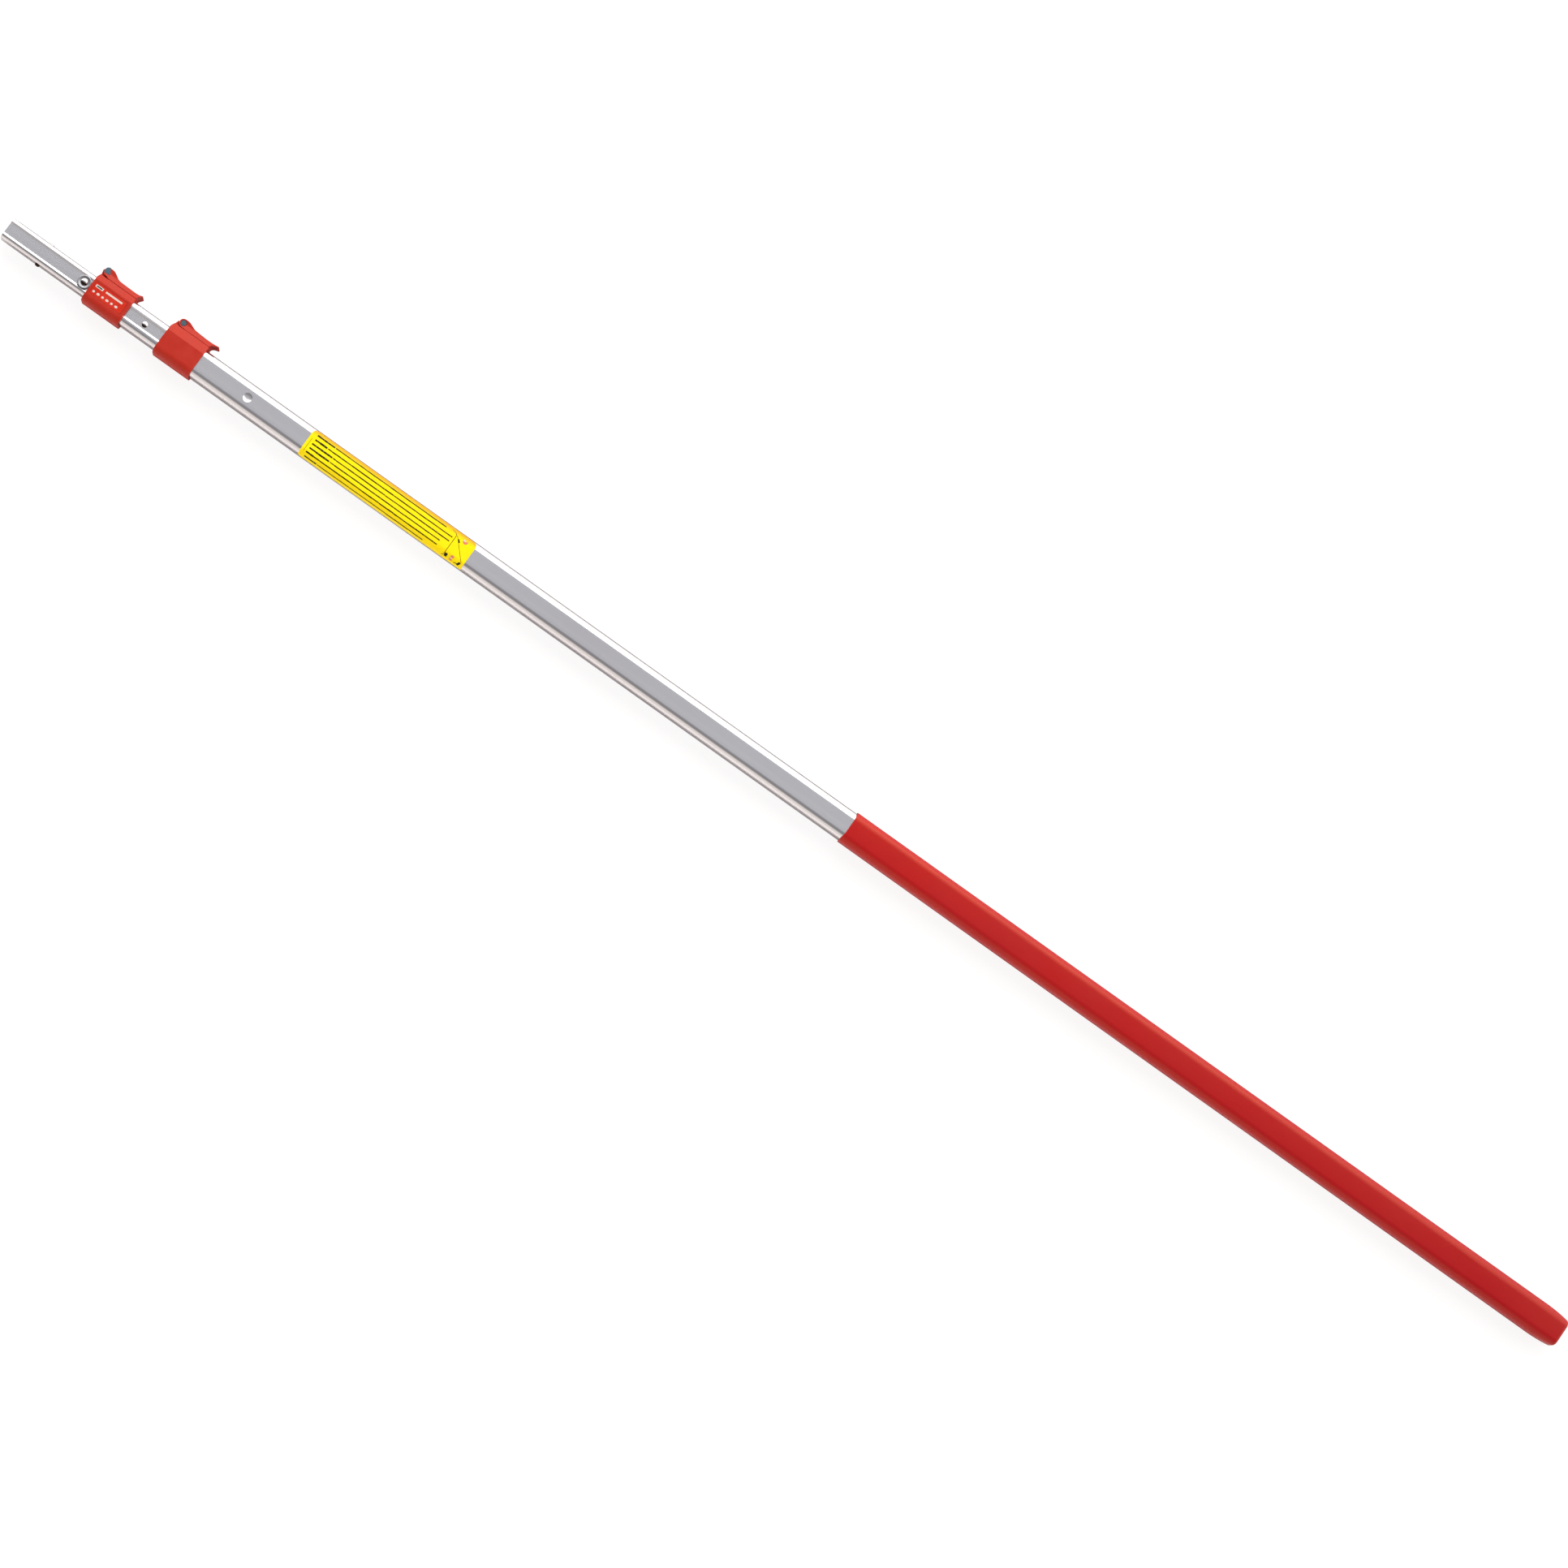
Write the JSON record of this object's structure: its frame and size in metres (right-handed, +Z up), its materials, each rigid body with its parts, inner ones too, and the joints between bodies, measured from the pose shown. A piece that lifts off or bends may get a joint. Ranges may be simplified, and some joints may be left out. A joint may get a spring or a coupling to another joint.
{
  "type": "telescopic extension pole",
  "caption": "Telescopic aluminium extension pole in nested rounded stages, with red lever-lock collars, a red grip sleeve, a yellow label and sprung snap buttons at the tip.",
  "frame": {"origin": "under the middle of the collapsed pole, on the surface that it lies on", "axes": "+X along the pole towards the free tip, +Z up through the labelled face, lock levers on the -Y side"},
  "size_m": [2.07, 0.0504, 0.0332],
  "materials": {
    "aluminium": "satin, extruded and anodised",
    "bright_steel": "bright plated",
    "red_moulding": "fine moulded",
    "sleeve_vinyl": "smooth, satin",
    "yellow_label": "gloss film",
    "blue_grey_plastic": "moulded",
    "black_rubber": "matt",
    "black_plastic": "moulded",
    "nylon": "natural"
  },
  "bodies": {
    "outer": {"outer_tube": "aluminium", "grip_sleeve": "sleeve_vinyl", "butt_plug": "black_plastic", "label": "yellow_label", "lower_collar": "red_moulding", "lower_guide_bush": "nylon", "lower_collar_screw_1": "bright_steel", "lower_collar_screw_2": "bright_steel"},
    "middle": {"middle_tube": "aluminium", "middle_tail_plug": "nylon", "middle_tail_rivet": "bright_steel", "middle_stop_rivet": "bright_steel", "upper_collar": "red_moulding", "upper_collar_plate": "red_moulding", "upper_guide_bush": "nylon", "upper_collar_screw_1": "bright_steel", "upper_collar_screw_2": "bright_steel"},
    "inner": {"inner_tube": "aluminium", "inner_tail_plug": "nylon", "inner_tail_rivet": "bright_steel", "inner_stop_washer": "bright_steel", "inner_stop_rivet": "bright_steel", "snap_spring": "bright_steel"},
    "lower_lever": {"lower_lever": "red_moulding", "lower_cam": "blue_grey_plastic", "lower_lever_pin": "blue_grey_plastic"},
    "upper_lever": {"upper_lever": "red_moulding", "upper_cam": "blue_grey_plastic", "upper_lever_pin": "blue_grey_plastic"},
    "lower_shoe": {"lower_brake_shoe": "black_rubber"},
    "upper_shoe": {"upper_brake_shoe": "black_rubber"},
    "near_button": {"snap_button_near": "bright_steel"},
    "far_button": {"snap_button_far": "bright_steel"}
  },
  "joints": [
    {"name": "middle_slide", "type": "slide", "parent": "outer", "child": "middle", "axis": [1, 0, 0], "range_m": [-0.019, 1.693]},
    {"name": "inner_slide", "type": "slide", "parent": "middle", "child": "inner", "axis": [1, 0, 0], "range_m": [0, 1.806]},
    {"name": "lower_lever_hinge", "type": "hinge", "parent": "outer", "child": "lower_lever", "pos_m": [0.8195, -0.02015, 0.0166], "axis": [0, 0, 1], "range_deg": [0, 90]},
    {"name": "lower_shoe_lift", "type": "slide", "parent": "outer", "child": "lower_shoe", "axis": [0, -1, 0], "range_m": [0, 0.00075]},
    {"name": "upper_lever_hinge", "type": "hinge", "parent": "middle", "child": "upper_lever", "pos_m": [0.918, -0.01795, 0.0166], "axis": [0, 0, 1], "range_deg": [0, 90]},
    {"name": "upper_shoe_lift", "type": "slide", "parent": "middle", "child": "upper_shoe", "axis": [0, -1, 0], "range_m": [0, 0.00075]},
    {"name": "near_button_press", "type": "slide", "parent": "inner", "child": "near_button", "axis": [0, -1, 0], "range_m": [0, 0.0025], "stiffness_N_per_m": 1500, "springref_m": -0.002, "deforming": ["snap_spring"]},
    {"name": "far_button_press", "type": "slide", "parent": "inner", "child": "far_button", "axis": [0, 1, 0], "range_m": [0, 0.0025], "stiffness_N_per_m": 1500, "springref_m": -0.002, "deforming": ["snap_spring"]}
  ],
  "couplings": [
    {"joint": "lower_shoe_lift", "follows": "lower_lever_hinge", "m_per_rad": 0.000477},
    {"joint": "upper_shoe_lift", "follows": "upper_lever_hinge", "m_per_rad": 0.000477}
  ]
}
